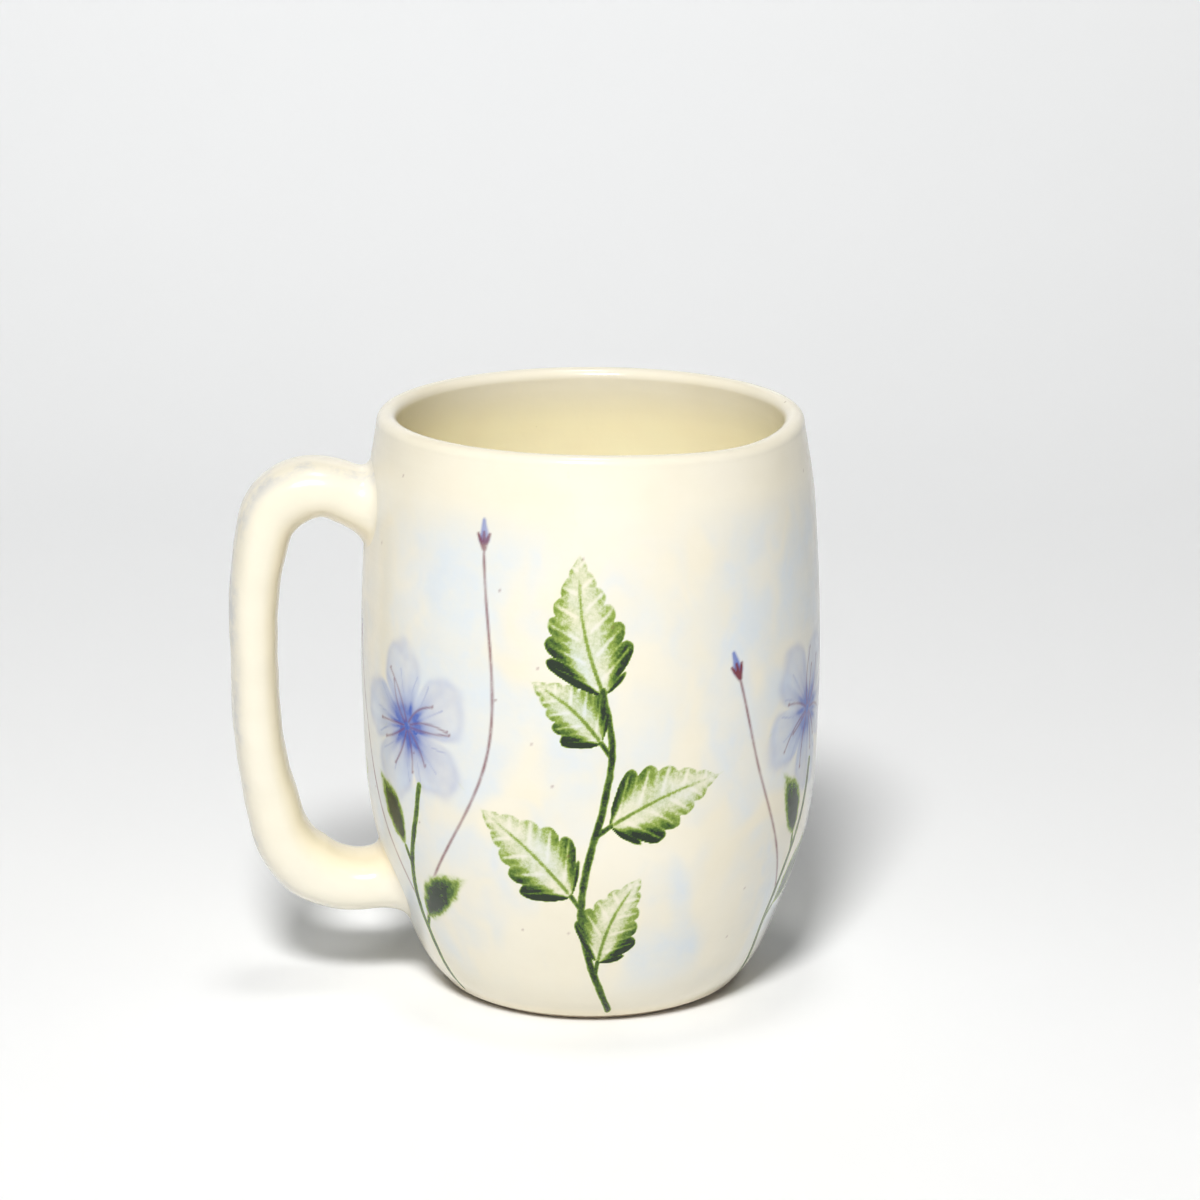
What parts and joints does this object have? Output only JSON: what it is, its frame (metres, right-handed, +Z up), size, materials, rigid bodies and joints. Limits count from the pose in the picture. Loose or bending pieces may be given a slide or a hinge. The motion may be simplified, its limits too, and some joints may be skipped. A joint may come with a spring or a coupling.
{
  "type": "mug",
  "caption": "Barrel-shaped stoneware mug with a strap handle, a rounded lip and a bare foot ring.",
  "frame": {"origin": "centre of the foot ring, on the surface that the mug stands on", "axes": "+Z up along the mug's axis, the handle points along -X"},
  "size_m": [0.1106, 0.0858, 0.11],
  "materials": {
    "stoneware_clay": "matt, unglazed",
    "cream_glaze": "gloss glaze",
    "liner_glaze": "gloss glaze"
  },
  "bodies": {
    "root": {"mug_body": "stoneware_clay", "handle": "stoneware_clay", "upper_handle_joint": "stoneware_clay", "lower_handle_joint": "stoneware_clay", "outer_glaze": "cream_glaze", "handle_glaze": "cream_glaze", "liner_glaze": "liner_glaze"}
  },
  "joints": []
}
